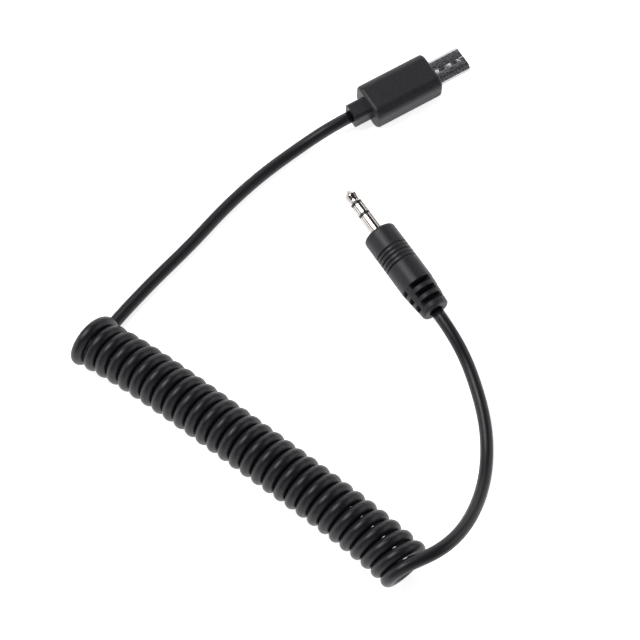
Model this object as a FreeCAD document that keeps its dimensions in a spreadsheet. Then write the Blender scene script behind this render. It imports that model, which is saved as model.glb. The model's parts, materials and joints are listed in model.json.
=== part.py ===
import FreeCAD, Part
import math
import os
import re
import Sketcher
from FreeCAD import Placement, Rotation, Vector

# A coiled shutter release cord, in millimetres. A camera plug with a flattened metal shell is moulded on
# one end, a three-pole 3.5 mm plug on the other, and the middle of the cord is set in a close coil that
# stretches. +Z is up and everything lies on Z = 0. The origin is below the middle of the box around the
# two plugs.

DIMENSIONS = (
    # the cord and its three insulated wires
    ("cord_diameter", 3.25),
    ("wire_diameter", 0.8),
    ("coil_diameter", 13.3),
    # where each plug lies: the middle of its grip's front face, and the way its tip points
    ("camera_plug_x", 6.45),
    ("camera_plug_y", 31.65),
    ("camera_plug_heading", 31),
    ("jack_x", -8.45),
    ("jack_y", -16.35),
    ("jack_heading", 123),
    # the camera plug's moulded grip, its collar and the mould round the soldered joints
    ("grip_length", 20.3),
    ("grip_width", 11.6),
    ("grip_height", 8),
    ("grip_corner", 2.6),
    ("grip_edge", 0.9),
    ("collar_length", 5),
    ("collar_width", 5.4),
    ("collar_height", 5),
    ("collar_corner", 1.1),
    ("grip_front_wall", 1),
    ("inner_length", 14.5),
    ("inner_width", 8.4),
    ("inner_height", 5.2),
    # the camera plug's folded shell, with its seam down the middle of the narrow face
    ("shell_reach", 9.9),
    ("shell_root", 3),
    ("shell_width", 7.5),
    ("shell_face", 5.9),
    ("shell_height", 2.2),
    ("shell_shoulder", 0.1),
    ("shell_wall", 0.25),
    ("seam_width", 0.1),
    ("seam_tab_neck", 1.8),
    ("seam_tab_end", 2.1),
    ("seam_tab_depth", 1.05),
    ("seam_first_tab", 2.7),
    ("seam_tab_pitch", 3.9),
    # the insulator, its five contacts and the two latch springs
    ("block_back", 3.6),
    ("block_front", 1),
    ("tongue_width", 4.6),
    ("tongue_top", -0.05),
    ("tongue_setback", 0.8),
    ("contact_width", 0.4),
    ("contact_pitch", 0.7),
    ("contact_thickness", 0.15),
    ("contact_tail", 6.2),
    ("contact_setback", 1.4),
    ("latch_offset", 2.85),
    ("latch_width", 0.7),
    ("latch_thickness", 0.3),
    ("latch_level", -0.35),
    ("latch_back", 2),
    ("latch_front", 8),
    ("latch_hook", 1),
    ("latch_rise", 0.35),
    ("latch_gap", 0.15),
    # the clamps that grip the cord's jacket inside each plug
    ("clamp_sheet", 0.25),
    ("clamp_ring_length", 2),
    ("jacket_grip", 1),
    ("camera_clamp_end", 14.5),
    ("camera_clamp_width", 3),
    ("jack_clamp_end", 13),
    ("jack_clamp_width", 1.6),
    ("jack_strap_level", 2.4),
    # the 3.5 mm plug, tip to grip
    ("pin_radius", 1.75),
    ("pin_shoulder_radius", 2),
    ("tip_length", 4.4),
    ("pole_gap", 0.75),
    ("pole_gap_radius", 1.55),
    ("ring_length", 2.9),
    ("sleeve_length", 5.8),
    ("tip_end_radius", 0.35),
    ("tip_cone", 1.5),
    ("tip_shoulder_radius", 1.6),
    ("tip_waist_radius", 1.4),
    ("rod_radius", 0.55),
    ("thin_sleeve_radius", 0.8),
    ("ring_tube_radius", 1.1),
    ("thick_sleeve_radius", 1.4),
    # the stack behind the pin, each face as far behind the grip's front face as its number
    ("flange_front", 0.9),
    ("flange_back", 2.1),
    ("flange_radius", 3),
    ("ground_back", 2.5),
    ("ground_radius", 2.8),
    ("first_washer_back", 3.3),
    ("first_washer_radius", 2.3),
    ("ring_terminal_back", 3.7),
    ("ring_terminal_radius", 2.2),
    ("second_washer_back", 4.5),
    ("second_washer_radius", 1.7),
    ("tip_terminal_back", 4.9),
    ("tip_terminal_radius", 1.6),
    ("rivet_back", 5.3),
    ("rivet_radius", 0.9),
    ("lug_end", 8.5),
    ("lug_width", 1),
    ("lug_thickness", 0.3),
    # the 3.5 mm plug's moulded grip, with a ribbed band and a slotted boot
    ("jack_grip_radius", 4.5),
    ("jack_barrel_length", 17.6),
    ("jack_grip_length", 26),
    ("jack_boot_radius", 3.75),
    ("jack_front_round", 0.9),
    ("jack_back_round", 0.7),
    ("jack_inner_radius", 3.4),
    ("jack_inner_back", 14.5),
    ("rib_groove_first", 6.2),
    ("rib_groove_pitch", 1.15),
    ("rib_groove_width", 0.5),
    ("rib_groove_depth", 0.25),
    ("slot_first", 18.4),
    ("slot_pitch", 2.55),
    ("slot_width", 1.35),
    ("slot_span", 4.2),
    ("slot_floor", 2.7),
)

RIB_GROOVES = 5
SLOTS = 3
CONTACTS = 5

doc = FreeCAD.newDocument("ShutterReleaseCord")
sheet = doc.addObject("Spreadsheet::Sheet", "Dim")
for row, (alias, value) in enumerate(DIMENSIONS, start=1):
    sheet.set(f"A{row}", alias)
    sheet.set(f"B{row}", str(value))
    sheet.setAlias(f"B{row}", alias)
doc.recompute()


def size(text):
    """The value of an expression whose words are the sheet's aliases."""
    return float(sheet.evalExpression(text))


def bound(text):
    """The same expression as another object reads it."""
    return re.sub(r"\b[a-z]\w*", r"Dim.\g<0>", text)


def lying(x, y, z, heading):
    """A plug's own frame: X runs out of its tip, Z is up and its axis is Z = 0."""
    return Placement(Vector(size(x), size(y), size(z)), Rotation(Vector(0, 0, 1), size(heading)))


CAMERA_PLUG = lying("camera_plug_x", "camera_plug_y", "grip_height / 2", "camera_plug_heading")
JACK = lying("jack_x", "jack_y", "jack_grip_radius", "jack_heading")


def outline(body, role, loops, offset="0"):
    """A sketch of closed loops of straight lines. Each corner is a pair of expressions tied to the sheet."""
    sketch = body.newObject("Sketcher::SketchObject", body.Name + "_outline")
    plane = next(feature for feature in body.Origin.OriginFeatures if feature.Role == role)
    sketch.AttachmentSupport = [(plane, "")]
    sketch.MapMode = "FlatFace"
    sketch.setExpression("AttachmentOffset.Base.z", bound(offset))
    for corners in loops:
        first = sketch.GeometryCount
        points = [Vector(size(x), size(y), 0) for x, y in corners]
        for start, end in zip(points, points[1:] + points[:1]):
            sketch.addGeometry(Part.LineSegment(start, end), False)
        for i, corner in enumerate(corners):
            line = first + i
            following = first + (i + 1) % len(corners)
            sketch.addConstraint(Sketcher.Constraint("Coincident", line, 2, following, 1))
            for kind, text in zip(("DistanceX", "DistanceY"), corner):
                number = sketch.addConstraint(Sketcher.Constraint(kind, -1, 1, line, 1, size(text)))
                sketch.setExpression(f"Constraints[{number}]", bound(text))
    return sketch


def prism(label, place, role, corners, start, end):
    """A straight-sided body along the normal of one of its origin planes."""
    body = doc.addObject("PartDesign::Body", label)
    pad = body.newObject("PartDesign::Pad", label + "_pad")
    pad.Profile = outline(body, role, [corners], start)
    pad.setExpression("Length", bound(f"({end}) - ({start})"))
    body.Placement = place
    doc.recompute()
    return body


def turned(label, place, corners):
    """A body turned about its own X axis. Each corner is a place along X and a radius."""
    body = doc.addObject("PartDesign::Body", label)
    sketch = outline(body, "XY_Plane", [corners])
    spin = body.newObject("PartDesign::Revolution", label + "_turn")
    spin.Profile = sketch
    spin.ReferenceAxis = (sketch, ["H_Axis"])
    spin.Angle = 360
    body.Placement = place
    doc.recompute()
    return body


def rounded(body, radius, wanted):
    """Rounds the edges of a body whose middles, in the body's own frame, pass the test."""
    base = body.Tip
    edges = [f"Edge{i}" for i, edge in enumerate(base.Shape.Edges, start=1) if wanted(edge.CenterOfMass)]
    fillet = body.newObject("PartDesign::Fillet", body.Name + "_round")
    fillet.Base = (base, edges)
    fillet.setExpression("Radius", bound(radius))
    body.Tip = fillet
    doc.recompute()
    return body


def rod(label, place, start, end, radius):
    """A round rod between two points of a plug's own frame."""
    start = Vector(*map(size, start))
    end = Vector(*map(size, end))
    piece = doc.addObject("Part::Cylinder", label)
    piece.setExpression("Radius", bound(radius))
    piece.Height = (end - start).Length
    piece.Placement = place * Placement(start, Rotation(Vector(0, 0, 1), end - start))
    return piece


def ball(label, place, centre, radius):
    piece = doc.addObject("Part::Sphere", label)
    piece.setExpression("Radius", bound(radius))
    piece.Placement = place * Placement(Vector(*map(size, centre)), Rotation())
    return piece


def fused(label, pieces):
    whole = doc.addObject("Part::MultiFuse", label)
    whole.Shapes = pieces
    doc.recompute()
    return whole


def cut(label, base, tools):
    """What is left of the base when each tool in turn is taken out of it."""
    for tool in tools:
        piece = doc.addObject("Part::Cut", label if tool is tools[-1] else f"{label}_less_{tool.Name}")
        piece.Base = base
        piece.Tool = tool
        base = piece
    doc.recompute()
    return base


def rectangle(width, height, level="0"):
    left = f"-({width}) / 2"
    right = f"({width}) / 2"
    low = f"{level} - ({height}) / 2"
    high = f"{level} + ({height}) / 2"
    return [(left, low), (right, low), (right, high), (left, high)]


def box(label, place, width, height, level, start, end):
    """A block across the plug. The level is its middle's height, and it starts and ends on X."""
    return prism(label, place, "YZ_Plane", rectangle(width, height, level), start, end)


def shell_section(inset):
    """The shell's five-sided section, wide side down, with every wall moved in by the inset."""
    # the slanted walls lean, so their corners move in by less than the upright ones
    half = f"shell_width / 2 - {inset}"
    top = f"shell_face / 2 - {inset} * 0.45"
    shoulder = f"shell_shoulder - {inset} * 0.35"
    low = f"-shell_height / 2 + {inset}"
    high = f"shell_height / 2 - {inset}"
    right = [(half, low), (half, shoulder), (top, high)]
    left = [(f"-({x})", y) for x, y in reversed(right)]
    return right + left


def moulded_block(label, width, height, corner, start, end):
    """A bar with rounded long edges."""
    body = box(label, CAMERA_PLUG, width, height, "0", start, end)
    middle = (size(start) + size(end)) / 2
    return rounded(body, corner, lambda point: abs(point.x - middle) < 0.01 and abs(point.y) > 0.1)


def camera_grip(taken_out):
    """The rubbery grip moulded over the back of the metal shell, softly rounded all round."""
    blank = moulded_block(
        "camera_grip_blank", "grip_width", "grip_height", "grip_corner", "-grip_length", "0"
    )
    length = size("grip_length")
    rounded(blank, "grip_edge", lambda point: point.x > -0.01 or point.x < 0.01 - length)
    return cut("camera_plug_grip", blank, taken_out)


def camera_collar(blank):
    """The square-ended strain relief that the cord comes out of."""
    bore = rod(
        "camera_collar_bore",
        CAMERA_PLUG,
        ("-grip_length - collar_length - 1", "0", "0"),
        ("-grip_front_wall", "0", "0"),
        "cord_diameter / 2",
    )
    return cut("camera_strain_relief", blank, [bore])


def seam_cutter():
    """The zigzag seam: two dovetail tabs of one edge let into the other."""
    w = "seam_width / 2"
    path = [("-shell_root - 0.1", "0", "0")]
    for tab in range(2):
        middle = f"seam_first_tab + {tab} * seam_tab_pitch"
        path.append((f"{middle} - seam_tab_neck / 2", "0", "1"))
        path.append((f"{middle} - seam_tab_end / 2", "-seam_tab_depth", "1"))
        path.append((f"{middle} + seam_tab_end / 2", "-seam_tab_depth", "-1"))
        path.append((f"{middle} + seam_tab_neck / 2", "0", "-1"))
    path.append(("shell_reach + 0.1", "0", "0"))
    one_side = [(f"{x} + ({side}) * {w}", f"{y} + {w}") for x, y, side in path]
    other_side = [(f"{x} - ({side}) * {w}", f"{y} - {w}") for x, y, side in reversed(path)]
    return prism("seam_cutter", CAMERA_PLUG, "XY_Plane", one_side + other_side, "0", "shell_height")


def latch_window(label, side):
    """The hole in the shell's wide side that a latch hook stands out of."""
    back = "latch_front - latch_hook - latch_gap"
    front = "latch_front + latch_gap"
    across = "latch_width / 2 + latch_gap"
    middle = f"({side}) * latch_offset"
    corners = [
        (back, f"{middle} - ({across})"),
        (front, f"{middle} - ({across})"),
        (front, f"{middle} + {across}"),
        (back, f"{middle} + {across}"),
    ]
    return prism(label, CAMERA_PLUG, "XY_Plane", corners, "-shell_height", "-shell_height / 4")


def plug_shell(blank):
    """Folded sheet steel, open at the front, with a seam above and two latch windows below."""
    inside = prism(
        "shell_inside",
        CAMERA_PLUG,
        "YZ_Plane",
        shell_section("shell_wall"),
        "-shell_root - 0.1",
        "shell_reach + 0.1",
    )
    windows = [latch_window("latch_window_left", "1"), latch_window("latch_window_right", "-1")]
    return cut("plug_shell", blank, [inside, seam_cutter()] + windows)


def plug_contacts():
    """Five flat spring contacts side by side, with tails behind for the wires."""
    places = [f"({i - (CONTACTS - 1) / 2}) * contact_pitch" for i in range(CONTACTS)]
    strips = []
    for i, middle in enumerate(places):
        corners = [(f"{middle} + {x}", y) for x, y in rectangle("contact_width", "contact_thickness")]
        low = [(x, f"{y} + tongue_top + contact_thickness / 2") for x, y in corners]
        strips.append(
            prism(
                f"contact_{i + 1}",
                CAMERA_PLUG,
                "YZ_Plane",
                low,
                "-contact_tail",
                "shell_reach - contact_setback",
            )
        )
    return fused("plug_contacts", strips)


def plug_insulator(contacts):
    """A block that fills the shell's root, and the tongue that carries the contacts to the mouth."""
    block = prism(
        "insulator_block", CAMERA_PLUG, "YZ_Plane", shell_section("shell_wall"), "-block_back", "block_front"
    )
    floor = "-shell_height / 2 + shell_wall"
    tongue = box(
        "insulator_tongue",
        CAMERA_PLUG,
        "tongue_width",
        f"tongue_top - ({floor})",
        f"(tongue_top + ({floor})) / 2",
        "0",
        "shell_reach - tongue_setback",
    )
    slots = []
    for name, side in (("left", "1"), ("right", "-1")):
        corners = [
            (f"({side}) * latch_offset + {x}", f"{y} + latch_level - latch_thickness / 2")
            for x, y in rectangle("latch_width + 2 * latch_gap", "latch_thickness + 2 * latch_gap")
        ]
        slots.append(
            prism(
                f"latch_slot_{name}",
                CAMERA_PLUG,
                "YZ_Plane",
                corners,
                "-block_back - 0.1",
                "block_front + 0.1",
            )
        )
    return cut("plug_insulator", fused("insulator_blank", [block, tongue]), [contacts] + slots)


def latch(label, side):
    """A leaf of spring steel in the shell. Its hook stands out of the window and is pressed in on the way."""
    low = "latch_level - latch_thickness"
    hook = "-shell_height / 2 - latch_rise"
    corners = [
        ("-latch_back", "latch_level"),
        ("-latch_back", low),
        ("latch_front - latch_hook", low),
        ("latch_front - latch_hook", hook),
        ("latch_front - latch_hook * 0.7", hook),
        ("latch_front", f"{hook} + 0.7 * latch_hook"),
        ("latch_front", "latch_level"),
    ]
    across = CAMERA_PLUG * Placement(Vector(0, side * size("latch_offset"), 0), Rotation())
    return prism(label, across, "XZ_Plane", corners, "-latch_width / 2", "latch_width / 2")


def clamp_ring(label, place, end):
    """The ring of the clamp, closed round the cord's jacket."""
    span = (f"-({end})", f"-({end}) + clamp_ring_length")
    corners = [
        (span[0], "cord_diameter / 2"),
        (span[1], "cord_diameter / 2"),
        (span[1], "cord_diameter / 2 + clamp_sheet"),
        (span[0], "cord_diameter / 2 + clamp_sheet"),
    ]
    return turned(label, place, corners)


def clamp_strap(label, place, width, level, start, step, end):
    """A bent strip from the metal in front of it, at that level, to the clamp ring's underside."""
    low = "-cord_diameter / 2 - clamp_sheet"
    high = "-cord_diameter / 2"
    corners = [
        (start, level),
        (start, f"{level} - clamp_sheet"),
        (f"{step} + 0.05", f"{level} - clamp_sheet"),
        (f"{step} - 0.75", low),
        (f"-({end})", low),
        (f"-({end})", high),
        (f"{step} - 0.8", high),
        (step, level),
    ]
    return prism(label, place, "XZ_Plane", corners, f"-({width}) / 2", f"({width}) / 2")


def camera_clamp():
    """One stamping: a strap on the back of the shell, and the ring that takes the pull of the cord."""
    strap = clamp_strap(
        "camera_clamp_strap",
        CAMERA_PLUG,
        "camera_clamp_width",
        "-shell_height / 2",
        "-grip_front_wall - 0.2",
        "-block_back",
        "camera_clamp_end",
    )
    ring = clamp_ring("camera_clamp_ring", CAMERA_PLUG, "camera_clamp_end")
    return fused("camera_cord_clamp", [strap, ring])


def jacket_end(label, place, clamp_end, end, wires):
    """The end of the cord's jacket, with its wires inside, from the clamp to the cord's own exit."""
    start = f"-({clamp_end}) + clamp_ring_length + jacket_grip"
    jacket = rod(label + "_tube", place, (start, "0", "0"), (f"-({end})", "0", "0"), "cord_diameter / 2")
    return cut(label, jacket, wires)


def ring_pin(label, corners):
    return turned(label, JACK, corners)


def jack_tip():
    """The pointed tip conductor, on a rod that runs back through the whole plug to its rivet."""
    end = "sleeve_length + ring_length + 2 * pole_gap + tip_length"
    start = "sleeve_length + ring_length + 2 * pole_gap"
    return ring_pin(
        "jack_tip",
        [
            (end, "0"),
            (f"{end} - 0.12", "tip_end_radius"),
            (f"{end} - tip_cone", "tip_shoulder_radius"),
            (f"{end} - tip_cone - 0.5", "pin_radius - 0.05"),
            (f"{start} + 1", "tip_waist_radius"),
            (f"{start} + 0.4", "tip_waist_radius"),
            (f"{start} + 0.2", "pin_radius"),
            (start, "pin_radius"),
            (start, "rod_radius"),
            ("-tip_terminal_back", "rod_radius"),
            ("-tip_terminal_back", "rivet_radius"),
            ("-rivet_back", "rivet_radius"),
            ("-rivet_back", "0"),
        ],
    )


def flanged_tube(label, face, collar, outer, inner, back, collar_radius):
    """A tube with a thicker stretch at its front: one conductor of the pin, or the insulator behind one."""
    return ring_pin(
        label,
        [
            (face, inner),
            (face, collar_radius),
            (collar, collar_radius),
            (collar, outer),
            (f"-({back})", outer),
            (f"-({back})", inner),
        ],
    )


def front_insulator():
    return flanged_tube(
        "jack_front_insulator",
        "sleeve_length + ring_length + 2 * pole_gap",
        "sleeve_length + ring_length + pole_gap",
        "thin_sleeve_radius",
        "rod_radius",
        "second_washer_back",
        "pole_gap_radius",
    )


def jack_ring():
    return flanged_tube(
        "jack_ring",
        "sleeve_length + ring_length + pole_gap",
        "sleeve_length + pole_gap",
        "ring_tube_radius",
        "thin_sleeve_radius",
        "ring_terminal_back",
        "pin_radius",
    )


def back_insulator():
    return flanged_tube(
        "jack_back_insulator",
        "sleeve_length + pole_gap",
        "sleeve_length",
        "thick_sleeve_radius",
        "ring_tube_radius",
        "first_washer_back",
        "pole_gap_radius",
    )


def jack_sleeve():
    """The earthed barrel of the pin, with a shoulder flush with the grip's face and a flange inside it."""
    return ring_pin(
        "jack_sleeve",
        [
            ("sleeve_length", "thick_sleeve_radius"),
            ("sleeve_length", "pin_radius"),
            ("0", "pin_radius"),
            ("0", "pin_shoulder_radius"),
            ("-flange_front", "pin_shoulder_radius"),
            ("-flange_front", "flange_radius"),
            ("-flange_back", "flange_radius"),
            ("-flange_back", "thick_sleeve_radius"),
        ],
    )


def disc(label, front, back, outer, inner):
    """A flat ring of the stack behind the flange."""
    return ring_pin(
        label,
        [
            (f"-({front})", inner),
            (f"-({front})", outer),
            (f"-({back})", outer),
            (f"-({back})", inner),
        ],
    )


def lug(label, front, low, turn):
    """A flat lug out of a terminal's back face, level above the axis or turned round it by the angle."""
    place = JACK * Placement(Vector(0, 0, 0), Rotation(Vector(1, 0, 0), turn))
    return box(
        label, place, "lug_width", "lug_thickness", f"{low} + lug_thickness / 2", "-lug_end", f"-({front})"
    )


def ring_terminal():
    """The ring's terminal, its lug out to the side."""
    plate = disc(
        "ring_plate", "first_washer_back", "ring_terminal_back", "ring_terminal_radius", "ring_tube_radius"
    )
    side_lug = lug("ring_lug", "first_washer_back", "tip_terminal_radius + 0.2", -90)
    return fused("jack_ring_terminal", [plate, side_lug])


def tip_terminal():
    """The tip's terminal, its lug on top."""
    plate = disc(
        "tip_plate", "second_washer_back", "tip_terminal_back", "tip_terminal_radius", "rod_radius"
    )
    top_lug = lug("tip_lug", "second_washer_back", "tip_terminal_radius - 0.45", 0)
    return fused("jack_tip_terminal", [plate, top_lug])


def ground_terminal():
    """The sleeve's terminal: a ring behind the flange, a strap, and the clamp round the jacket."""
    strap = clamp_strap(
        "ground_strap",
        JACK,
        "jack_clamp_width",
        "-jack_strap_level",
        "-flange_back",
        "-jack_clamp_end + clamp_ring_length + 1.5",
        "jack_clamp_end",
    )
    plate = disc("ground_plate", "flange_back", "ground_back", "ground_radius", "thick_sleeve_radius")
    return fused("jack_ground_clamp", [plate, strap, clamp_ring("jack_clamp_ring", JACK, "jack_clamp_end")])


def soldered(label, place, start, end, centre, metal):
    """A wire out of the jacket's end and the solder joint that holds it to its terminal."""
    wire = cut(label, rod(label + "_core", place, start, end, "wire_diameter / 2"), [metal])
    bead = ball(label + "_bead", place, centre, "wire_diameter / 2 + 0.2")
    return wire, cut(label + "_solder", bead, [wire, metal])


def camera_wires(contacts):
    """Focus, shutter and common wires, each on its own contact."""
    start = "-camera_clamp_end + clamp_ring_length"
    level = "tongue_top + contact_thickness + wire_diameter / 2"
    ends = (("focus", "2", "0.95"), ("shutter", "0", "0"), ("common", "-2", "-0.95"))
    wires = []
    blobs = []
    for name, step, across in ends:
        y = f"{step} * contact_pitch"
        wire, blob = soldered(
            f"camera_{name}_wire",
            CAMERA_PLUG,
            (start, across, "0"),
            ("-contact_tail - 0.1", y, f"{level} + 0.05"),
            ("-contact_tail + 0.3", y, f"{level} + 0.05"),
            contacts,
        )
        wires.append(wire)
        blobs.append(blob)
    return wires, fused("camera_solder_joints", blobs)


def jack_wires(tip_metal, ring_metal, ground_metal):
    """The same three wires at the other end: focus on the ring, shutter on the tip, common on the sleeve."""
    start = "-jack_clamp_end + clamp_ring_length"
    tip_level = "tip_terminal_radius - 0.15 + wire_diameter / 2"
    ring_level = "tip_terminal_radius + 0.5 + wire_diameter / 2"
    strap_level = "-jack_strap_level + wire_diameter / 2"
    ends = (
        ("shutter", ("0", "0.8"), ("0", tip_level), tip_metal),
        ("focus", ("0.75", "-0.35"), (ring_level, "0"), ring_metal),
        ("common", ("-0.3", "-0.85"), ("0", strap_level), ground_metal),
    )
    wires = []
    blobs = []
    for name, (y, z), (end_y, end_z), metal in ends:
        wire, blob = soldered(
            f"jack_{name}_wire",
            JACK,
            (start, y, z),
            ("-lug_end + 0.3", end_y, end_z),
            ("-lug_end + 0.6", end_y, end_z),
            metal,
        )
        wires.append(wire)
        blobs.append(blob)
    return wires, fused("jack_solder_joints", blobs)


def jack_grip(taken_out):
    """The second grip: a round barrel with a ribbed band, and a tapered boot with slots to bend at."""
    blank = ring_pin(
        "jack_grip_blank",
        [
            ("0", "0"),
            ("0", "jack_grip_radius"),
            ("-jack_barrel_length", "jack_grip_radius"),
            ("-jack_grip_length", "jack_boot_radius"),
            ("-jack_grip_length", "0"),
        ],
    )
    rounded(blank, "jack_front_round", lambda point: point.x > -0.01)
    length = size("jack_grip_length")
    rounded(blank, "jack_back_round", lambda point: point.x < 0.01 - length)
    grooves = []
    for i in range(RIB_GROOVES):
        middle = f"-(rib_groove_first + {i} * rib_groove_pitch)"
        low = f"{middle} - rib_groove_width / 2"
        high = f"{middle} + rib_groove_width / 2"
        depth = "jack_grip_radius - rib_groove_depth"
        grooves.append(
            ring_pin(
                f"rib_groove_{i + 1}",
                [(low, "jack_grip_radius + 0.2"), (high, "jack_grip_radius + 0.2"), (middle, depth)],
            )
        )
    slots = []
    for side in range(4):
        place = JACK * Placement(Vector(0, 0, 0), Rotation(Vector(1, 0, 0), 90 * side))
        for i in range(SLOTS):
            middle = f"-(slot_first + {i} * slot_pitch)"
            slots.append(
                box(
                    f"boot_slot_{side + 1}_{i + 1}",
                    place,
                    "slot_span",
                    "jack_grip_radius",
                    "slot_floor + jack_grip_radius / 2",
                    f"{middle} - slot_width / 2",
                    f"{middle} + slot_width / 2",
                )
            )
    return cut("jack_grip", blank, grooves + slots + taken_out)


def smooth_route(name, points):
    """Straight runs joined by the largest tangent arcs that they allow."""
    corners = [Vector(*point) for point in points]
    edges = []
    radii = []
    start = corners[0]
    for before, corner, after in zip(corners, corners[1:], corners[2:]):
        back = (before - corner).normalize()
        ahead = (after - corner).normalize()
        half_turn = (math.pi - back.getAngle(ahead)) / 2
        reach = 0.45 * min((before - corner).Length, (after - corner).Length)
        radius = reach / math.tan(half_turn)
        middle = (back + ahead).normalize()
        bend = corner + middle * (radius / math.cos(half_turn) - radius)
        edges.append(Part.LineSegment(start, corner + back * reach).toShape())
        edges.append(Part.Arc(corner + back * reach, bend, corner + ahead * reach).toShape())
        start = corner + ahead * reach
        radii.append(radius)
    edges.append(Part.LineSegment(start, corners[-1]).toShape())
    print(name, "arc radii:", ", ".join(f"{radius:.0f}" for radius in radii))
    return Part.Wire(edges)


def cord_tube(label, points, diameter):
    """A round tube along a route, its ends square to the route."""
    spine = doc.addObject("Part::Feature", label + "_route")
    spine.Shape = smooth_route(label, points)
    section = doc.addObject("Part::Circle", label + "_section")
    section.setExpression("Radius", bound(f"{diameter} / 2"))
    heading = Vector(*points[1]) - Vector(*points[0])
    section.Placement = Placement(Vector(*points[0]), Rotation(Vector(0, 0, 1), heading))
    tube = doc.addObject("Part::Sweep", label)
    tube.Sections = [section]
    tube.Spine = (spine, [f"Edge{i + 1}" for i in range(len(spine.Shape.Edges))])
    tube.Solid = True
    doc.recompute()
    length = spine.Shape.Length
    expected = math.pi * size(f"{diameter} / 2") ** 2 * length
    print(f"{label}: {length:.1f} long, volume {tube.Shape.Volume:.1f} for {expected:.1f}")
    return tube


def camera_plug():
    """Every piece of the camera plug, and the spring leaves that move in it."""
    shell_blank = prism(
        "shell_blank", CAMERA_PLUG, "YZ_Plane", shell_section("0"), "-shell_root", "shell_reach"
    )
    back = "-grip_front_wall - inner_length"
    inner_blank = moulded_block(
        "camera_inner_blank", "inner_width", "inner_height", "1", back, "-grip_front_wall"
    )
    collar_blank = moulded_block(
        "camera_collar_blank",
        "collar_width",
        "collar_height",
        "collar_corner",
        "-grip_length - collar_length",
        back,
    )
    contacts = plug_contacts()
    insulator = plug_insulator(contacts)
    clamp = camera_clamp()
    wires, joints = camera_wires(contacts)
    jacket = jacket_end(
        "camera_jacket_end", CAMERA_PLUG, "camera_clamp_end", "grip_length + collar_length", wires
    )
    inside = [contacts, insulator, clamp, joints] + wires
    return [
        camera_grip([shell_blank, inner_blank, collar_blank]),
        camera_collar(collar_blank),
        plug_shell(shell_blank),
        insulator,
        contacts,
        latch("latch_left", 1),
        latch("latch_right", -1),
        clamp,
        jacket,
        cut("camera_inner_mould", inner_blank, [shell_blank, jacket] + inside),
        joints,
    ] + wires


def jack():
    """Every piece of the three-pole plug."""
    metal = [jack_sleeve(), jack_ring(), jack_tip()]
    insulators = [
        front_insulator(),
        back_insulator(),
        disc(
            "jack_first_washer",
            "ground_back",
            "first_washer_back",
            "first_washer_radius",
            "thick_sleeve_radius",
        ),
        disc(
            "jack_second_washer",
            "ring_terminal_back",
            "second_washer_back",
            "second_washer_radius",
            "thin_sleeve_radius",
        ),
    ]
    terminals = [tip_terminal(), ring_terminal(), ground_terminal()]
    wires, joints = jack_wires(*terminals)
    jacket = jacket_end("jack_jacket_end", JACK, "jack_clamp_end", "jack_grip_length", wires)
    inner_blank = rod(
        "jack_inner_blank",
        JACK,
        ("-flange_front", "0", "0"),
        ("-jack_inner_back", "0", "0"),
        "jack_inner_radius",
    )
    shoulder = rod(
        "shoulder_way", JACK, ("-flange_front", "0", "0"), ("0.1", "0", "0"), "pin_shoulder_radius"
    )
    cord_mouth = rod(
        "cord_mouth",
        JACK,
        ("-jack_grip_length + 1.5", "0", "0"),
        ("-jack_grip_length - 0.1", "0", "0"),
        "cord_diameter / 2 + 0.3",
    )
    filled = metal + insulators + terminals + [jacket, joints] + wires
    return filled + [
        cut("jack_inner_mould", inner_blank, filled),
        jack_grip([inner_blank, shoulder, cord_mouth, jacket]),
    ]


def lead_camera_side():
    """Out of the camera plug's collar, down onto the table and across it to the coil."""
    return cord_tube(
        "lead_camera_side",
        [
            CAMERA_PLUG * Vector(-size("grip_length + collar_length"), 0, 0),
            CAMERA_PLUG * Vector(-size("grip_length + collar_length") - 6, 0, 0),
            Vector(-28.2, 11.0, 1.65),
            Vector(-38.8, 2.2, 1.65),
            Vector(-48.2, -7.6, 1.65),
            Vector(-56.4, -18.0, 1.65),
            Vector(-65.3, -27.9, 1.65),
            Vector(-72.4, -36.5, 1.65),
            Vector(-76.9, -42.5, 1.65),
        ],
        "cord_diameter",
    )


def coil():
    """The close coil as the bar that it fills, bowed a little sideways."""
    return cord_tube(
        "coil",
        [Vector(-82.0, -46.3, 6.65), Vector(-40.2, -72.4, 6.65), Vector(-3.7, -104.5, 6.65)],
        "coil_diameter",
    )


def lead_jack_side():
    """Off the top of the coil's end, down to the table, round to the other plug and up into its boot."""
    return cord_tube(
        "lead_jack_side",
        [
            Vector(-2.1, -105.9, 11.65),
            Vector(4.6, -102.0, 11.65),
            Vector(10.5, -95.9, 8.9),
            Vector(14.9, -86.9, 4.2),
            Vector(17.2, -77.2, 1.65),
            Vector(17.2, -66.2, 1.65),
            Vector(13.9, -52.3, 1.65),
            JACK * Vector(-size("jack_grip_length") - 6.5, 0, 0),
            JACK * Vector(-size("jack_grip_length"), 0, 0),
        ],
        "cord_diameter",
    )


pieces = camera_plug() + jack() + [lead_camera_side(), coil(), lead_jack_side()]
doc.recompute()

for item in doc.Objects:
    if {"Invalid", "Error"} & set(item.State):
        raise RuntimeError(f"{item.Label} did not build: {item.State}")
for piece in pieces:
    if piece.Shape.isNull() or not piece.Shape.isValid():
        raise RuntimeError(f"{piece.Label} has no valid shape")

os.makedirs("parts", exist_ok=True)
for piece in pieces:
    piece.Shape.exportStep(f"parts/{piece.Label}.step")
    print(piece.Label, len(piece.Shape.Solids), f"{piece.Shape.Volume:.2f}")
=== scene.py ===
import json
import math

import bmesh
import bpy
from mathutils import Matrix, Vector


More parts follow.
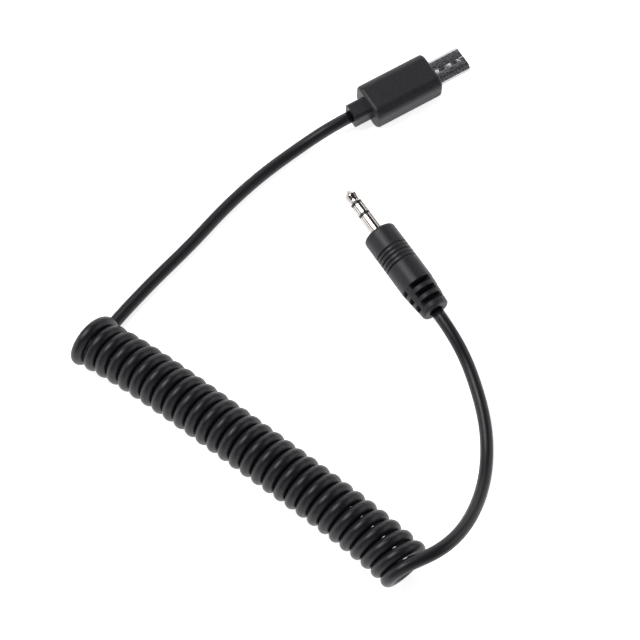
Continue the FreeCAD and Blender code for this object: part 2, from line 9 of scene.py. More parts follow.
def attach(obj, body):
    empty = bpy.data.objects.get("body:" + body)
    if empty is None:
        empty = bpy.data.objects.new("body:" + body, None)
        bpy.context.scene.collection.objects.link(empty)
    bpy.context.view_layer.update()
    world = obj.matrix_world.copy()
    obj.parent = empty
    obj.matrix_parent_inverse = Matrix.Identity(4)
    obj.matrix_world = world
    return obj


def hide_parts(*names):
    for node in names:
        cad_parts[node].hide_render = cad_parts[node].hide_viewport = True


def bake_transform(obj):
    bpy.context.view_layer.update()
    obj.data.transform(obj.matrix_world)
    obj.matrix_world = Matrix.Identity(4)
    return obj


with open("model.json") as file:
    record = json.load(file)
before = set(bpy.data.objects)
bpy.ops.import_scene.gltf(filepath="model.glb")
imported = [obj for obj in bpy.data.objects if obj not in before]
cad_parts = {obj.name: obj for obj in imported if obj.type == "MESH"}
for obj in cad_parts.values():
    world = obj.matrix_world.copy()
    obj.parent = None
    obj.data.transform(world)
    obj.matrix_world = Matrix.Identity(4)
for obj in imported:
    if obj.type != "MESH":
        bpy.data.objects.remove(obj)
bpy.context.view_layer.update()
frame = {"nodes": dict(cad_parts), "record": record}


# ---------------------------------------------------------------- the three-pole pin
# A tip, a ring and a sleeve, turned from brass bar to 3.5 mm and barrel-plated with nickel. They are stacked
# on one rod that runs back through the plug and is riveted over the last terminal.

MM = 0.001
PIN_CENTRE_REACH = 2.9 * MM
NICKEL_LIGHT = "#cfc8c5"
NICKEL_DARK = "#b0a8a5"
TOOL_MARK = 0.25 * MM
GRAIN_LOW = 0.3
GRAIN_HIGH = 0.7

mounts = {mount["name"]: mount for mount in frame["record"]["mounts"]}


def plug_frame(mount, reach):
    """A plug's own frame: X runs out of its tip, Z is up, and its grip's front face is at X = 0."""
    along = Vector(mounts[mount]["axis"])
    face = Vector(mounts[mount]["pos_m"]) - along * reach
    left = Vector((0, 0, 1)).cross(along)
    return Matrix((
        (along.x, left.x, 0, face.x),
        (along.y, left.y, 0, face.y),
        (0, 0, 1, face.z),
        (0, 0, 0, 1),
    ))


JACK = plug_frame("jack_plug", PIN_CENTRE_REACH)


def colour(text):
    """An sRGB hex colour as the linear colour that a shader takes."""
    channels = [int(text[i : i + 2], 16) / 255 for i in (1, 3, 5)]
    linear = [c / 12.92 if c <= 0.04045 else ((c + 0.055) / 1.055) ** 2.4 for c in channels]
    return (*linear, 1)


def add(tree, kind, settings=None, **inputs):
    """A node with its settings, and each input set to a value or linked from an output."""
    node = tree.nodes.new(kind)
    for name, value in (settings or {}).items():
        setattr(node, name, value)
    for name, value in inputs.items():
        socket = node.inputs[int(name[1:]) if name[1:].isdigit() else name.replace("_", " ")]
        if isinstance(value, bpy.types.NodeSocket):
            tree.links.new(value, socket)
        else:
            socket.default_value = value
    return node


def surface(name, light, dark, grain, roughness, relief, stretch=(1, 1, 1), heading=0, **shine):
    """A finish whose colour, roughness and relief follow one grain, drawn out along a heading."""
    made = bpy.data.materials.new(name)
    made.use_nodes = True
    tree = made.node_tree
    tree.nodes.clear()
    place = add(tree, "ShaderNodeTexCoord").outputs["Object"]
    turn = (0, 0, heading)
    turned = add(tree, "ShaderNodeMapping", {"vector_type": "TEXTURE"}, Vector=place, Rotation=turn)
    drawn = add(tree, "ShaderNodeMapping", Vector=turned.outputs[0], Scale=stretch)
    pattern = add(tree, "ShaderNodeTexNoise", Vector=drawn.outputs[0], Scale=1 / grain, Detail=3)
    noise = pattern.outputs[0]
    tones = {"_6": colour(dark), "_7": colour(light)}
    sharper = add(tree, "ShaderNodeMapRange", Value=noise, From_Min=GRAIN_LOW, From_Max=GRAIN_HIGH)
    tone = add(tree, "ShaderNodeMix", {"data_type": "RGBA"}, Factor=sharper.outputs[0], **tones)
    gloss = add(
        tree,
        "ShaderNodeMapRange",
        Value=noise,
        From_Min=GRAIN_LOW,
        From_Max=GRAIN_HIGH,
        To_Min=roughness[0],
        To_Max=roughness[1],
    )
    bump = add(tree, "ShaderNodeBump", Height=noise, Distance=relief)
    shader = add(
        tree,
        "ShaderNodeBsdfPrincipled",
        Base_Color=tone.outputs[2],
        Roughness=gloss.outputs[0],
        Normal=bump.outputs[0],
        **shine,
    )
    add(tree, "ShaderNodeOutputMaterial", Surface=shader.outputs[0])
    return made


def dress(material, *names):
    """Gives CAD nodes their finish."""
    for name in names:
        materials = frame["nodes"][name].data.materials
        materials.clear()
        materials.append(material)


JACK_HEADING = math.atan2(JACK[1][0], JACK[0][0])
POLE_MERGE = 0.0001 * MM
TURNED_EDGE = math.radians(35)


def arc(x, r, radius, start, end, steps):
    """Points of a rounded corner on a turned outline, about x and r, between two angles in degrees."""
    angles = [math.radians(start + (end - start) * i / steps) for i in range(steps + 1)]
    return [(x + radius * math.cos(angle), r + radius * math.sin(angle)) for angle in angles]


def lathe(name, outline, step, sides):
    """An outline of places along X and radii, turned about X in steps of a length at most.

    It runs from axis to axis, or round and back to its start.
    """
    solid_through = outline[0][1] == 0 and outline[-1][1] == 0
    fine = []
    for (x0, r0), (x1, r1) in zip(outline, outline[1:] + ([] if solid_through else outline[:1])):
        steps = max(1, math.ceil(math.hypot(x1 - x0, r1 - r0) / step))
        fine += [(x0 + (x1 - x0) * i / steps, r0 + (r1 - r0) * i / steps) for i in range(steps)]
    if solid_through:
        fine.append(outline[-1])
    verts = []
    for x, r in fine:
        for k in range(sides):
            angle = math.tau * k / sides
            verts.append((x, r * math.cos(angle), r * math.sin(angle)))
    faces = []
    for i in range(len(fine) - solid_through):
        for k in range(sides):
            a = i * sides + k
            b = i * sides + (k + 1) % sides
            c = (i + 1) % len(fine) * sides
            faces.append((a, b, c + (k + 1) % sides, c + k))
    mesh = bpy.data.meshes.new(name)
    mesh.from_pydata(verts, [], faces)
    solid = bmesh.new()
    solid.from_mesh(mesh)
    # points on the axis itself meet at a pole
    bmesh.ops.remove_doubles(solid, verts=solid.verts, dist=POLE_MERGE)
    bmesh.ops.dissolve_degenerate(solid, edges=solid.edges, dist=POLE_MERGE)
    bmesh.ops.recalc_face_normals(solid, faces=solid.faces)
    solid.to_mesh(mesh)
    solid.free()
    mesh.shade_smooth()
    mesh.set_sharp_from_angle(angle=TURNED_EDGE)
    piece = bpy.data.objects.new(name, mesh)
    bpy.context.scene.collection.objects.link(piece)
    return piece


# bright nickel over turned brass: a mirror with faint rings round the pin, which break up its reflections
nickel = surface(
    "bright_nickel_over_turned_brass",
    NICKEL_LIGHT,
    NICKEL_DARK,
    TOOL_MARK,
    (0.12, 0.18),
    0.0001 * MM,
    stretch=(1, 0.06, 0.06),
    heading=JACK_HEADING,
    Metallic=1,
)

PIN_RADIUS = 1.75 * MM
SHOULDER_RADIUS = 2 * MM
FLANGE_RADIUS = 3 * MM
FLANGE_FRONT = 0.9 * MM
FLANGE_BACK = 2.1 * MM
SLEEVE_END = 5.8 * MM
RING_START = 6.55 * MM
RING_END = 9.45 * MM
TIP_START = 10.2 * MM
TIP_END = 14.6 * MM
RING_TUBE = 1.1 * MM
RING_TUBE_BACK = 3.7 * MM
THICK_INSULATOR = 1.4 * MM
THIN_INSULATOR = 0.8 * MM
ROD_RADIUS = 0.55 * MM
ROD_BACK = 4.9 * MM
RIVET_BACK = 5.3 * MM
RIVET_RADIUS = 0.9 * MM
WAIST_RADIUS = 1.4 * MM
HEAD_RADIUS = 1.7 * MM
HEAD_SIDE = 1.66 * MM
CONE_BASE = 1.55 * MM
POINT_RADIUS = 0.35 * MM
CHAMFER = 0.1 * MM
PIN_SIDES = 96
PIN_STEP = 0.25 * MM

pin_outlines = {
    "jack_tip": [
        (TIP_END, 0),
        (TIP_END, POINT_RADIUS * 0.5),
        (TIP_END - 0.12 * MM, POINT_RADIUS),
        (TIP_END - 1.5 * MM, CONE_BASE),
        (TIP_END - 1.7 * MM, HEAD_SIDE),
        (TIP_END - 1.95 * MM, HEAD_RADIUS),
        (TIP_END - 2.2 * MM, HEAD_SIDE),
        (TIP_START + 1 * MM, WAIST_RADIUS),
        (TIP_START + 0.5 * MM, WAIST_RADIUS),
        (TIP_START + 0.25 * MM, PIN_RADIUS - CHAMFER),
        (TIP_START + 0.12 * MM, PIN_RADIUS),
        (TIP_START, PIN_RADIUS - CHAMFER),
        (TIP_START, ROD_RADIUS),
        (-ROD_BACK, ROD_RADIUS),
        (-ROD_BACK, RIVET_RADIUS),
        (-RIVET_BACK, RIVET_RADIUS - CHAMFER),
        (-RIVET_BACK, 0),
    ],
    "jack_ring": [
        (RING_END, THIN_INSULATOR),
        (RING_END, PIN_RADIUS - CHAMFER),
        (RING_END - CHAMFER, PIN_RADIUS),
        (RING_START + CHAMFER, PIN_RADIUS),
        (RING_START, PIN_RADIUS - CHAMFER),
        (RING_START, RING_TUBE),
        (-RING_TUBE_BACK, RING_TUBE),
        (-RING_TUBE_BACK, THIN_INSULATOR),
    ],
    "jack_sleeve": [
        (SLEEVE_END, THICK_INSULATOR),
        (SLEEVE_END, PIN_RADIUS - CHAMFER),
        (SLEEVE_END - CHAMFER, PIN_RADIUS),
        (0, PIN_RADIUS),
        (0, SHOULDER_RADIUS),
        (-FLANGE_FRONT, SHOULDER_RADIUS),
        (-FLANGE_FRONT, FLANGE_RADIUS),
        (-FLANGE_BACK, FLANGE_RADIUS),
        (-FLANGE_BACK, THICK_INSULATOR),
    ],
}
for name, outline in pin_outlines.items():
    pole = lathe(name.replace("jack", "plated"), outline, PIN_STEP, PIN_SIDES)
    pole.data.transform(JACK)
    pole.data.materials.append(nickel)
    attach(pole, "jack_end")
    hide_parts(name)


# ---------------------------------------------------------------- the pin's insulators
# Two black acetal tubes with a collar each, which show as the rings between the poles, and two washers behind
# the flange. They are moulded, so they are smooth and a little shiny.

# acetal: dead black, with a tight soft highlight
acetal = surface("black_acetal", "#141415", "#0b0b0c", 0.4 * MM, (0.28, 0.4), 0.001 * MM)
dress(acetal, "jack_front_insulator", "jack_back_insulator", "jack_first_washer", "jack_second_washer")


# ---------------------------------------------------------------- the terminals and the cord clamps
# Stampings of brass strip. One is soldered to each pole, and the sleeve's runs back to a ring that is closed
# round the cord's jacket; the camera plug has a clamp of the same kind on the back of its shell.

# rolled brass: warm and dull, with the fine lines of the mill
brass = surface("rolled_brass_strip", "#c9a65a", "#a8843f", 0.3 * MM, (0.3, 0.45), 0.002 * MM, Metallic=1)
dress(brass, "jack_tip_terminal", "jack_ring_terminal", "jack_ground_clamp", "camera_cord_clamp")


# ---------------------------------------------------------------- the camera plug's shell and latches
# One blank of stainless strip, folded to five sides, with its edges let into each other by dovetail tabs in
# a zigzag seam. Two leaves of spring steel inside it put their hooks out through windows in its wide side.

SHELL_REACH = 9.9 * MM
CAMERA_PLUG = plug_frame("camera_plug", SHELL_REACH)
CAMERA_HEADING = math.atan2(CAMERA_PLUG[1][0], CAMERA_PLUG[0][0])

# bright-rolled stainless: a grey mirror, frosted by the rolls and drawn out along the strip
stainless = surface(
    "bright_rolled_stainless",
    "#d8d7da",
    "#8d8b90",
    0.22 * MM,
    (0.2, 0.3),
    0.0012 * MM,
    stretch=(0.5, 1, 1),
    heading=CAMERA_HEADING,
    Metallic=1,
)

FOLD_ROUND = 0.45 * MM
SHEARED_ROUND = 0.06 * MM
LONG_EDGE = 5 * MM
SHOULDER = 1.8 * MM
FACE_LEVEL = 0.05 * MM
SHELL_MERGE = 0.001 * MM
FLAT_ENOUGH = math.radians(2)
SHARP_EDGE = math.radians(25)
SHADED_EDGE = math.radians(24)


def folded_shell(name, node):
    """The shell with its folds rounded as a press leaves them, and its sheared edges a little dulled."""
    solid = bmesh.new()
    solid.from_mesh(frame["nodes"][node].data)
    solid.transform(CAMERA_PLUG.inverted())
    bmesh.ops.remove_doubles(solid, verts=solid.verts, dist=SHELL_MERGE)
    bmesh.ops.dissolve_limit(solid, angle_limit=FLAT_ENOUGH, verts=solid.verts, edges=solid.edges)
    highest = max(vertex.co.z for vertex in solid.verts)
    sheared = []
    folds = []
    for edge in solid.edges:
        if len(edge.link_faces) != 2 or edge.calc_face_angle(0) < SHARP_EDGE:
            continue
        start, end = (vertex.co for vertex in edge.verts)
        on_face = min(start.z, end.z) > highest - FACE_LEVEL
        if on_face and abs(start.x - end.x) > LONG_EDGE and abs(start.y) > SHOULDER:
            folds.append(edge)
        else:
            sheared.append(edge)
    bmesh.ops.bevel(solid, geom=folds, offset=FOLD_ROUND, segments=4, profile=0.5, affect="EDGES")
    sheared = [edge for edge in sheared if edge.is_valid]
    bmesh.ops.bevel(solid, geom=sheared, offset=SHEARED_ROUND, segments=2, profile=0.5, affect="EDGES")
    bmesh.ops.recalc_face_normals(solid, faces=solid.faces)
    solid.transform(CAMERA_PLUG)
    mesh = bpy.data.meshes.new(name)
    solid.to_mesh(mesh)
    solid.free()
    mesh.shade_smooth()
    mesh.set_sharp_from_angle(angle=SHADED_EDGE)
    piece = bpy.data.objects.new(name, mesh)
    bpy.context.scene.collection.objects.link(piece)
    return piece


shell = folded_shell("folded_plug_shell", "plug_shell")
shell.data.materials.append(stainless)
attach(shell, "camera_end")
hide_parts("plug_shell")

# hardened spring strip: a little darker than the shell, with a coarser grain
spring_steel = surface(
    "hardened_spring_strip", "#a9a8a6", "#8d8c8b", 0.3 * MM, (0.2, 0.3), 0.001 * MM, Metallic=1
)
dress(spring_steel, "latch_left", "latch_right")


# ---------------------------------------------------------------- the camera plug's insulator and contacts
# A block of glass-filled nylon that fills the shell's root, with a tongue to the mouth, and five contacts of
# phosphor bronze laid in the tongue, gold-flashed where they rub.

# glass-filled nylon: black, with a dry speckle where the fibres reach the skin
nylon = surface("glass_filled_nylon", "#202022", "#101011", 0.25 * MM, (0.45, 0.65), 0.004 * MM)
dress(nylon, "plug_insulator")

# a thin gold flash: yellow and clean
gold = surface("gold_flash_on_bronze", "#e8c060", "#d4a848", 0.3 * MM, (0.18, 0.28), 0.001 * MM, Metallic=1)
dress(gold, "plug_contacts")


# ---------------------------------------------------------------- the wires and their solder
# Three stranded cores in coloured PVC, one for focus, one for the shutter and one common to both, each tinned
# and soldered in a bead to its contact and to its pole.

WIRE_COLOURS = {
    "focus": ("#d9d6cc", "#c6c2b6"),
    "shutter": ("#a82a24", "#8f201c"),
    "common": ("#c9a023", "#b18a18"),
}

for use, (light, dark) in WIRE_COLOURS.items():
    # soft PVC insulation: an even colour with a waxy highlight
    insulation = surface(f"pvc_insulation_{use}", light, dark, 0.5 * MM, (0.4, 0.5), 0.002 * MM)
    dress(insulation, f"camera_{use}_wire", f"jack_{use}_wire")

# tin-lead solder, frozen in a bead: bright, with dull patches where it froze first
solder = surface("frozen_solder", "#bcbdc0", "#8c8d90", 0.3 * MM, (0.22, 0.5), 0.01 * MM, Metallic=1)
dress(solder, "camera_solder_joints", "jack_solder_joints")


# ---------------------------------------------------------------- the inner moulds
# A first shot of hard polyethylene round the soldered joints, which holds everything still while the grip is
# moulded over it.

# unpigmented polyethylene: milky and slightly greasy
polyethylene = surface("milky_polyethylene", "#d8d6cc", "#cbc8bc", 0.8 * MM, (0.4, 0.55), 0.004 * MM)
dress(polyethylene, "camera_inner_mould", "jack_inner_mould")


# ---------------------------------------------------------------- the cord
# One cord runs from plug to plug: three cores under a black polyurethane jacket. Its middle is wound on a
# mandrel and set with heat, so it closes up by itself, and its two ends are left plain.

CORD_DIAMETER = 3.25 * MM
CAMERA_EXIT = 25.3 * MM
JACK_EXIT = 26 * MM
LEAD_CAMERA_SIDE = [
    CAMERA_PLUG @ Vector((-CAMERA_EXIT, 0, 0)),
    CAMERA_PLUG @ Vector((-CAMERA_EXIT - 6 * MM, 0, 0)),
    Vector((-0.0282, 0.0110, 0.00165)),
    Vector((-0.0388, 0.0022, 0.00165)),
    Vector((-0.0482, -0.0076, 0.00165)),
    Vector((-0.0564, -0.0180, 0.00165)),
    Vector((-0.0653, -0.0279, 0.00165)),
    Vector((-0.0724, -0.0365, 0.00165)),
    Vector((-0.0769, -0.0425, 0.00165)),
]
LEAD_JACK_SIDE = [
    Vector((0.0046, -0.1020, 0.01165)),
    Vector((0.0105, -0.0959, 0.0089)),
    Vector((0.0149, -0.0869, 0.0042)),
    Vector((0.0172, -0.0772, 0.00165)),
    Vector((0.0172, -0.0662, 0.00165)),
    Vector((0.0139, -0.0523, 0.00165)),
    JACK @ Vector((-JACK_EXIT - 6.5 * MM, 0, 0)),
    JACK @ Vector((-JACK_EXIT, 0, 0)),
]

COIL_START = Vector((-0.07478, -0.05008, 0.00665))
COIL_ALONG = Vector((0.79845, -0.60206, 0))
COIL_ACROSS = Vector((0.60206, 0.79845, 0))
COIL_UP = Vector((0, 0, 1))
COIL_RADIUS = 5.02 * MM
COIL_TURNS = 28
COIL_MIDDLE = 43 * MM
COIL_HALF_LENGTH = 49 * MM
POINTS_PER_TURN = 16
FIRST_TOP = -4.8 * MM
LEAD_IN_PITCH = 2.6 * MM
PITCH = 3.4 * MM
PITCH_GROWTH = 0.006 * MM
EVEN_TURNS = 20
BOW_OUT = 1.05 * MM
BOW_FALL = 1.96 * MM
LEAN_BACK = 0.95 * MM
LEAN_START = -0.5
LEAN_BUILD_UP = 1.6
LEAN_FULL = 2
LEAN_FADE = 27
SWING_ASIDE = 1.9 * MM
FLARE_OUT = 0.8 * MM
FLARE_BACK = 0.45 * MM
FLARE_TURN = 0.12
FLARE_REACH = 0.62


def coil_place(turn):
    """How far along the coil the cord is after that many turns from its first pass over the top."""
    if turn < 0:
        return FIRST_TOP + LEAD_IN_PITCH * turn
    return FIRST_TOP + PITCH * turn + PITCH_GROWTH * max(0, turn - EVEN_TURNS) ** 2


def coil_bow(along):
    """The coil lies nearly straight, and its two ends fall away to one side."""
    return BOW_OUT - BOW_FALL * ((along - COIL_MIDDLE) / COIL_HALF_LENGTH) ** 4


def coil_lean(turn, angle):
    """The tops of the turns lean back over their feet, and the last turns swing round towards the lead."""
    build_up = min(1, (turn - LEAN_START) / LEAN_BUILD_UP)
    back = -LEAN_BACK * build_up * (1 - ((turn - LEAN_FULL) / LEAN_FADE) ** 2)
    aside = SWING_ASIDE * (max(0, turn) / COIL_TURNS) ** 6
    return back * math.sin(angle) + aside * math.cos(angle)


def coil_flare(turn):
    """The first turn springs open as it comes off the lead, most on its far shoulder."""
    away = min(1, abs(turn - FLARE_TURN) / FLARE_REACH)
    return max(0, math.cos(math.radians(90) * away)) ** 1.5


def coil_point(turn):
    """The control point that many turns on: down the far side, under, up the near side and over."""
    angle = math.radians(90) - math.tau * turn
    # a control polygon stands outside the circle that it makes
    radius = COIL_RADIUS / math.cos(math.pi / POINTS_PER_TURN)
    radius += FLARE_OUT * coil_flare(turn)
    across = coil_bow(coil_place(turn)) + radius * math.cos(angle)
    along = coil_place(turn) + coil_lean(turn, angle) - FLARE_BACK * coil_flare(turn)
    return COIL_START + COIL_ALONG * along + COIL_ACROSS * across + COIL_UP * radius * math.sin(angle)


first_point = -POINTS_PER_TURN // 2 + 1
coil_turns = [i / POINTS_PER_TURN for i in range(first_point, COIL_TURNS * POINTS_PER_TURN + 1)]
route = LEAD_CAMERA_SIDE + [coil_point(turn) for turn in coil_turns] + LEAD_JACK_SIDE

line = bpy.data.curves.new("cord_line", "CURVE")
line.dimensions = "3D"
spline = line.splines.new("NURBS")
spline.points.add(len(route) - 1)
for point, place in zip(spline.points, route):
    point.co = (*place, 1)
spline.order_u = 3
spline.use_endpoint_u = True
spline.resolution_u = 5
line_object = bpy.data.objects.new("cord_line", line)
bpy.context.scene.collection.objects.link(line_object)
centre_line = bpy.data.meshes.new_from_object(line_object)
path = [vertex.co.copy() for vertex in centre_line.vertices]
bpy.data.objects.remove(line_object)

CORD_SIDES = 24


def tube(name, points, radius, sides):
    """A closed round tube of rings that follow the points without twisting, with a map along it."""
    mesh = bpy.data.meshes.new(name)
    run = [0]
    for a, b in zip(points, points[1:]):
        run.append(run[-1] + (b - a).length)
    verts = []
    side = Vector((0, 0, 1)).cross(points[1] - points[0]).normalized()
    for i, point in enumerate(points):
        ahead = (points[min(i + 1, len(points) - 1)] - points[max(i - 1, 0)]).normalized()
        side = (side - ahead * side.dot(ahead)).normalized()
        up = ahead.cross(side)
        for k in range(sides):
            angle = math.tau * k / sides
            verts.append(point + (side * math.cos(angle) + up * math.sin(angle)) * radius)
    faces = []
    for i in range(len(points) - 1):
        for k in range(sides):
            a = i * sides + k
            b = i * sides + (k + 1) % sides
            faces.append((a, b, b + sides, a + sides))
    faces.append(tuple(reversed(range(sides))))
    faces.append(tuple(range(len(verts) - sides, len(verts))))
    mesh.from_pydata(verts, [], faces)
    mesh.shade_smooth()
    # the map is in metres: the distance round the jacket, and the distance along it
    around = math.tau * radius / sides
    uv = mesh.uv_layers.new(name="jacket")
    for face in list(mesh.polygons)[: (len(points) - 1) * sides]:
        ring, k = divmod(face.index, sides)
        corners = ((k, ring), (k + 1, ring), (k + 1, ring + 1), (k, ring + 1))
        for corner, (step, row) in zip(face.loop_indices, corners):
            uv.data[corner].uv = (step * around, run[row])
    piece = bpy.data.objects.new(name, mesh)
    bpy.context.scene.collection.objects.link(piece)
    return piece, run


cord, run = tube("cord", path, CORD_DIAMETER / 2, CORD_SIDES)

JACKET_LIGHT = "#1b1a20"
JACKET_DARK = "#131217"
JACKET_STREAK = 0.5 * MM

# polyurethane out of an extruder: charcoal and satin, with faint streaks of the die along it and a broad
# soft highlight on its upper side
jacket = bpy.data.materials.new("extruded_polyurethane")
jacket.use_nodes = True
tree = jacket.node_tree
tree.nodes.clear()
map_place = add(tree, "ShaderNodeUVMap", {"uv_map": "jacket"}).outputs[0]
drawn = add(tree, "ShaderNodeMapping", Vector=map_place, Scale=(1, 0.08, 1))
streaks = add(tree, "ShaderNodeTexNoise", Vector=drawn.outputs[0], Scale=1 / JACKET_STREAK, Detail=2)
streak = streaks.outputs[0]
tones = {"_6": colour(JACKET_DARK), "_7": colour(JACKET_LIGHT)}
tone = add(tree, "ShaderNodeMix", {"data_type": "RGBA"}, Factor=streak, **tones)
gloss = add(tree, "ShaderNodeMapRange", Value=streak, To_Min=0.32, To_Max=0.44)
bump = add(tree, "ShaderNodeBump", Height=streak, Distance=0.01 * MM)
shader = add(
    tree,
    "ShaderNodeBsdfPrincipled",
    Base_Color=tone.outputs[2],
    Roughness=gloss.outputs[0],
    Normal=bump.outputs[0],
    IOR=1.5,
    Specular_IOR_Level=0.36,
)
add(tree, "ShaderNodeOutputMaterial", Surface=shader.outputs[0])
cord.data.materials.append(jacket)
dress(jacket, "camera_jacket_end", "jack_jacket_end")

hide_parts("lead_camera_side", "coil", "lead_jack_side")
coil_point(0)
coil_point(COIL_TURNS)
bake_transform(cord)


# ---------------------------------------------------------------- the camera plug's grip and collar
# A second shot of soft PVC over the inner mould and the back of the shell, and the square-ended strain relief
# behind it that the cord comes out of.

GRIP_LIGHT = "#26252b"
GRIP_DARK = "#1c1b20"
SPARK_GRAIN = 0.45 * MM

# soft PVC from a spark-eroded mould: charcoal, a little paler than the cord, and matt with a fine even grain.
# The real grain is about 0.05 mm, and is drawn coarser so that it shows
grip_pvc = surface(
    "spark_grained_soft_pvc",
    GRIP_LIGHT,
    GRIP_DARK,
    SPARK_GRAIN,
    (0.38, 0.5),
    0.012 * MM,
    IOR=1.5,
    Specular_IOR_Level=0.36,
)
dress(grip_pvc, "camera_plug_grip", "camera_strain_relief")


# ---------------------------------------------------------------- the three-pole plug's grip
# The same PVC: a round barrel with a band of fine grooves for the fingers, and a tapered boot slotted on four
# sides so that it bends with the cord. One moulding, with a bore for the cord's jacket.

BARREL_RADIUS = 4.5 * MM
BARREL_LENGTH = 17.6 * MM
BOOT_RADIUS = 3.75 * MM
FRONT_ROUND = 0.9 * MM
BACK_ROUND = 0.7 * MM
MOUTH_RADIUS = 1.925 * MM
MOUTH_DEPTH = 1.5 * MM
CAVITY_RADIUS = 3.4 * MM
CAVITY_FRONT = 0.9 * MM
CAVITY_BACK = 14.5 * MM
RING_STEP = 0.11 * MM
BARREL_SIDES = 144
SKIN_START = CAVITY_RADIUS + 0.3 * MM
TOP_GROOVE_SHARE = 0.4
MOULDED_EDGE = math.radians(30)

boot_slope = math.degrees(math.atan2(BARREL_RADIUS - BOOT_RADIUS, JACK_EXIT - BARREL_LENGTH))
jack_outline = (
    [(0, SHOULDER_RADIUS)]
    + arc(-FRONT_ROUND, BARREL_RADIUS - FRONT_ROUND, FRONT_ROUND, 0, 90, 8)
    + [(-BARREL_LENGTH, BARREL_RADIUS)]
    + arc(BACK_ROUND - JACK_EXIT, BOOT_RADIUS - BACK_ROUND, BACK_ROUND, 90 + boot_slope, 180, 6)
    + [
        (-JACK_EXIT, MOUTH_RADIUS),
        (-JACK_EXIT + MOUTH_DEPTH, MOUTH_RADIUS),
        (-JACK_EXIT + MOUTH_DEPTH, CORD_DIAMETER / 2),
        (-CAVITY_BACK, CORD_DIAMETER / 2),
        (-CAVITY_BACK, CAVITY_RADIUS),
        (-CAVITY_FRONT, CAVITY_RADIUS),
        (-CAVITY_FRONT, SHOULDER_RADIUS),
    ]
)
jack_barrel = lathe("jack_moulded_grip", jack_outline, RING_STEP, BARREL_SIDES)


def named_input(group, name, kind, value):
    """A size of a node tree under its own name, with what it is unless it is told."""
    socket = group.interface.new_socket(name, in_out="INPUT", socket_type=kind)
    if value is not None:
        socket.default_value = value
    return socket.identifier


group = bpy.data.node_groups.new("grip_grooves_and_slots", "GeometryNodeTree")
named_input(group, "Moulding", "NodeSocketGeometry", None)
sizes = {
    "First Groove": 6.2 * MM,
    "Groove Pitch": 1.15 * MM,
    "Groove Width": 0.55 * MM,
    "Groove Depth": 0.5 * MM,
    "Grooves": 5,
    "First Slot": 18.4 * MM,
    "Slot Pitch": 2.55 * MM,
    "Slot Width": 1.35 * MM,
    "Slots": 3,
    "Top Slot Reach": 2.75 * MM,
    "Side Slot Reach": 1.7 * MM,
    "Slot Floor": 1.8 * MM,
    "Edge": 0.06 * MM,
}
identifiers = {name: named_input(group, name, "NodeSocketFloat", 0.0) for name in sizes}
group.interface.new_socket("Moulding", in_out="OUTPUT", socket_type="NodeSocketGeometry")
given = add(group, "NodeGroupInput").outputs


def reckon(operation, *values):
    """The result of one sum in the grip's tree."""
    numbers = {f"_{i}": value for i, value in enumerate(values)}
    return add(group, "ShaderNodeMath", {"operation": operation}, **numbers).outputs[0]


def nearest(behind, first, pitch, count):
    """How far a place behind the front face is from the nearest of a row of cuts."""
    number = reckon("ROUND", reckon("DIVIDE", reckon("SUBTRACT", behind, first), pitch))
    last = reckon("SUBTRACT", count, 1.0)
    held = reckon("MINIMUM", reckon("MAXIMUM", number, 0.0), last)
    return reckon("ABSOLUTE", reckon("SUBTRACT", behind, reckon("MULTIPLY_ADD", held, pitch, first)))


def soft_step(value, out, inside):
    """0 where the value is at its outer limit and 1 at its inner one, rounded at both."""
    return add(
        group,
        "ShaderNodeMapRange",
        {"interpolation_type": "SMOOTHSTEP"},
        Value=value,
        From_Min=out,
        From_Max=inside,
    ).outputs[0]


position = add(group, "GeometryNodeInputPosition").outputs[0]
x, y, z = add(group, "ShaderNodeSeparateXYZ", _0=position).outputs
behind = reckon("MULTIPLY", x, -1.0)
radius = reckon("SQRT", reckon("ADD", reckon("MULTIPLY", y, y), reckon("MULTIPLY", z, z)))
wide = reckon("MAXIMUM", reckon("ABSOLUTE", y), reckon("ABSOLUTE", z))
narrow = reckon("MINIMUM", reckon("ABSOLUTE", y), reckon("ABSOLUTE", z))

to_groove = nearest(behind, given["First Groove"], given["Groove Pitch"], given["Grooves"])
groove = soft_step(to_groove, reckon("MULTIPLY", given["Groove Width"], 0.5), 0.0)
# the grooves are cut deeper at the sides, where the fingers hold the plug
sideways = reckon("DIVIDE", reckon("ABSOLUTE", y), radius)
flank = reckon("MULTIPLY_ADD", sideways, 1 - TOP_GROOVE_SHARE, TOP_GROOVE_SHARE)
groove_depth = reckon("MULTIPLY", reckon("MULTIPLY", groove, flank), given["Groove Depth"])
groove_share = reckon("DIVIDE", groove_depth, radius)

to_slot = nearest(behind, given["First Slot"], given["Slot Pitch"], given["Slots"])
half_slot = reckon("MULTIPLY", given["Slot Width"], 0.5)
half_edge = reckon("MULTIPLY", given["Edge"], 0.5)
slot_out = reckon("ADD", half_slot, half_edge)
slot_in = reckon("SUBTRACT", half_slot, half_edge)
along_slot = soft_step(to_slot, slot_out, slot_in)
# the slots above and below are wider than the ones at the sides
on_side = reckon("GREATER_THAN", reckon("ABSOLUTE", y), reckon("ABSOLUTE", z))
reach_change = reckon("SUBTRACT", given["Side Slot Reach"], given["Top Slot Reach"])
reach = reckon("MULTIPLY_ADD", on_side, reach_change, given["Top Slot Reach"])
reach_out = reckon("ADD", reach, half_edge)
reach_in = reckon("SUBTRACT", reach, half_edge)
across_slot = soft_step(narrow, reach_out, reach_in)
slot_depth = reckon("SUBTRACT", 1.0, reckon("DIVIDE", given["Slot Floor"], wide))
slot_share = reckon("MULTIPLY", reckon("MULTIPLY", along_slot, across_slot), slot_depth)

kept = reckon("SUBTRACT", reckon("SUBTRACT", 1.0, groove_share), slot_share)
kept_y = reckon("MULTIPLY", y, kept)
kept_z = reckon("MULTIPLY", z, kept)
moved = add(group, "ShaderNodeCombineXYZ", X=x, Y=kept_y, Z=kept_z)
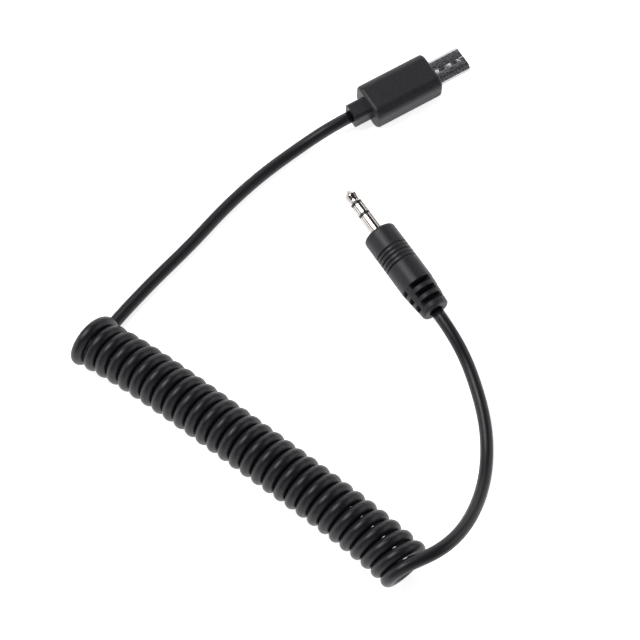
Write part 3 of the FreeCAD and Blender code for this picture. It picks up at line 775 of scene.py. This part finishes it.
# the outer skin only: the cavity and the bore stay as they are
skin = reckon("GREATER_THAN", radius, SKIN_START)
shaped = add(
    group, "GeometryNodeSetPosition", Geometry=given["Moulding"], Selection=skin, Position=moved.outputs[0]
)
real = add(group, "GeometryNodeRealizeInstances", Geometry=shaped.outputs[0])
coated = add(group, "GeometryNodeSetMaterial", Geometry=real.outputs[0], Material=grip_pvc)
add(group, "NodeGroupOutput", _0=coated.outputs[0])

modifier = jack_barrel.modifiers.new("grooves_and_slots", "NODES")
modifier.node_group = group
for name, value in sizes.items():
    modifier[identifiers[name]] = float(value)
graph = bpy.context.evaluated_depsgraph_get()
moulded = bpy.data.meshes.new_from_object(jack_barrel.evaluated_get(graph))
moulded.set_sharp_from_angle(angle=MOULDED_EDGE)
jack_barrel.modifiers.clear()
jack_barrel.data = moulded
moulded.transform(JACK)
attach(jack_barrel, "jack_end")
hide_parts("jack_grip")


# ---------------------------------------------------------------- the studio
# A table of white acrylic, lit from below so that hardly a shadow falls on it, with soft boxes round it and
# one overhead. The rest of the room is dark, so that the metal has something black to show.

acrylic = surface(
    "opal_acrylic",
    "#ffffff",
    "#fafafa",
    3 * MM,
    (0.8, 0.9),
    0.001 * MM,
    Emission_Color=colour("#ffffff"),
    Emission_Strength=0.75,
)
floor_mesh = bpy.data.meshes.new("floor")
floor_mesh.from_pydata([(-3, -3, 0), (3, -3, 0), (3, 3, 0), (-3, 3, 0)], [], [(0, 1, 2, 3)])
floor_mesh.materials.append(acrylic)
floor = bpy.data.objects.new("floor", floor_mesh)
bpy.context.scene.collection.objects.link(floor)

camera_data = bpy.data.cameras.new("camera")
camera_data.lens = 92.76
camera = bpy.data.objects.new("camera", camera_data)
camera.location = (-0.02342, -0.20826, 0.38095)
camera.rotation_euler = (math.radians(24), 0, 0)
bpy.context.scene.collection.objects.link(camera)
bpy.context.scene.camera = camera

world = bpy.data.worlds.new("studio")
world.use_nodes = True
backdrop = world.node_tree.nodes["Background"]
backdrop.inputs["Color"].default_value = colour("#e6e9f0")
backdrop.inputs["Strength"].default_value = 0.04
bpy.context.scene.world = world
# the table is meant to go to pure white, so the picture is shown straight, without a film curve
bpy.context.scene.view_settings.view_transform = "Standard"

AIM = Vector((-0.03, -0.04, 0))
SOFT_BOXES = {
    "overhead_box": ((-0.487, 0.13, 0.875), 0.55, 0.55, 7),
    "left_box": ((-0.95, -0.10, 0.27), 1.0, 0.35, 2),
    "right_box": ((0.90, 0.10, 0.42), 1.0, 0.6, 3),
    "back_box": ((0.0, 0.95, 0.42), 1.2, 0.6, 4),
    "front_box": ((0.0, -1.0, 0.40), 1.2, 0.6, 2),
}
for name, (place, width, height, power) in SOFT_BOXES.items():
    box_data = bpy.data.lights.new(name, "AREA")
    box_data.shape = "RECTANGLE"
    box_data.size = width
    box_data.size_y = height
    box_data.energy = power
    soft_box = bpy.data.objects.new(name, box_data)
    soft_box.location = place
    soft_box.rotation_euler = (Vector(place) - AIM).to_track_quat("Z", "Y").to_euler()
    bpy.context.scene.collection.objects.link(soft_box)
